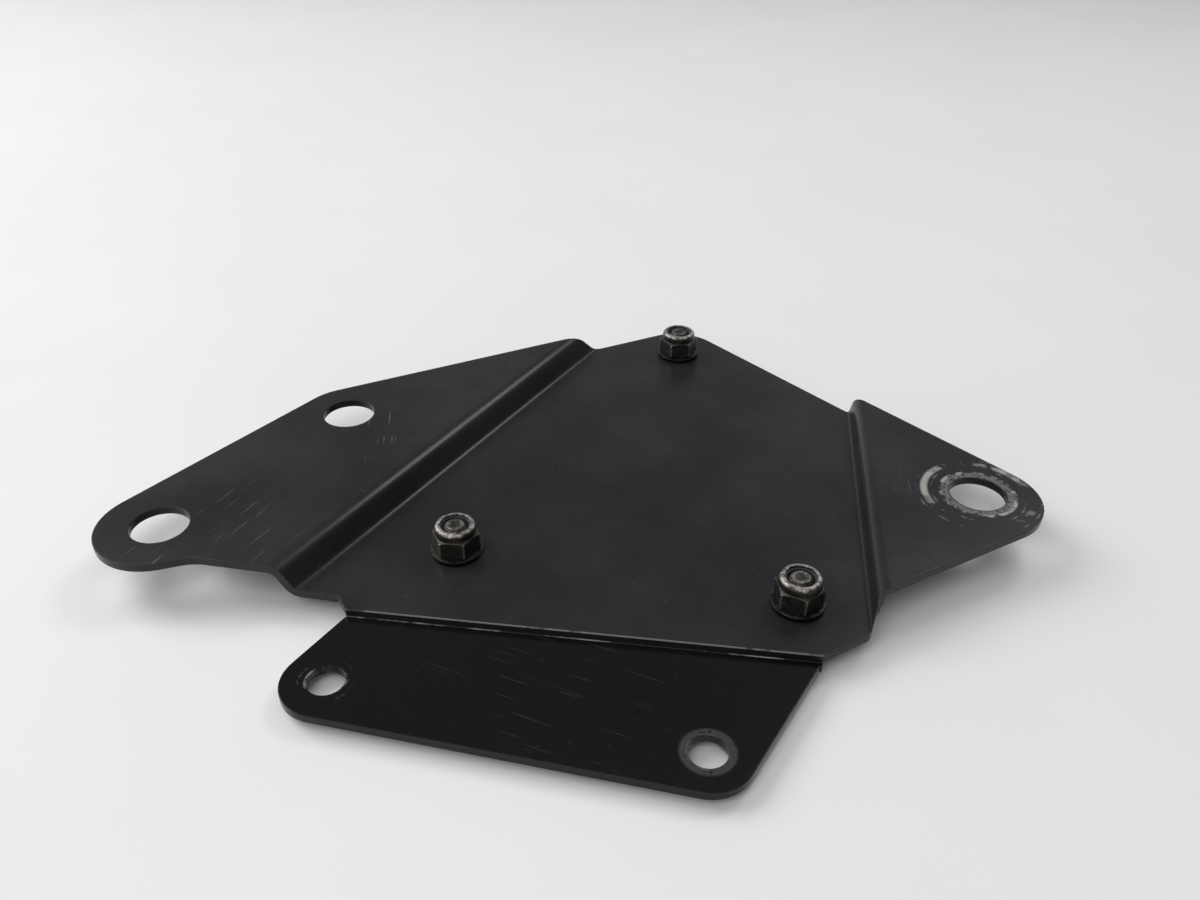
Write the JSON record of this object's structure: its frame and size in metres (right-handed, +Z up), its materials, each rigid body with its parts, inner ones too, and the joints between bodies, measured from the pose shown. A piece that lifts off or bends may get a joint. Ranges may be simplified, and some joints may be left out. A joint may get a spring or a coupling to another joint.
{
  "type": "motor mounting bracket",
  "caption": "Pressed steel motor mounting plate with raised wings, a stepped mounting flap and clearance holes, carrying upright bolts with collared lock nuts",
  "frame": {"origin": "midway between the two flap holes, on the underside of the flap", "axes": "+X along the row of flap holes towards the right wing, +Y from the flap towards the back corner, +Z up out of the plate on the lock nuts' side"},
  "size_m": [0.2822, 0.2256, 0.0182],
  "materials": {
    "plate_paint": "satin",
    "bolt_steel": "satin",
    "washer_steel": "satin",
    "nut_steel": "satin",
    "insert_nylon": "matte"
  },
  "bodies": {
    "root": {"bracket_plate": "plate_paint", "bolt_back": "bolt_steel", "bolt_left": "bolt_steel", "bolt_right": "bolt_steel", "washer_back": "washer_steel", "washer_left": "washer_steel", "washer_right": "washer_steel", "lock_nut_back": "nut_steel", "lock_nut_left": "nut_steel", "lock_nut_right": "nut_steel", "nut_insert_back": "insert_nylon", "nut_insert_left": "insert_nylon", "nut_insert_right": "insert_nylon"}
  },
  "joints": []
}
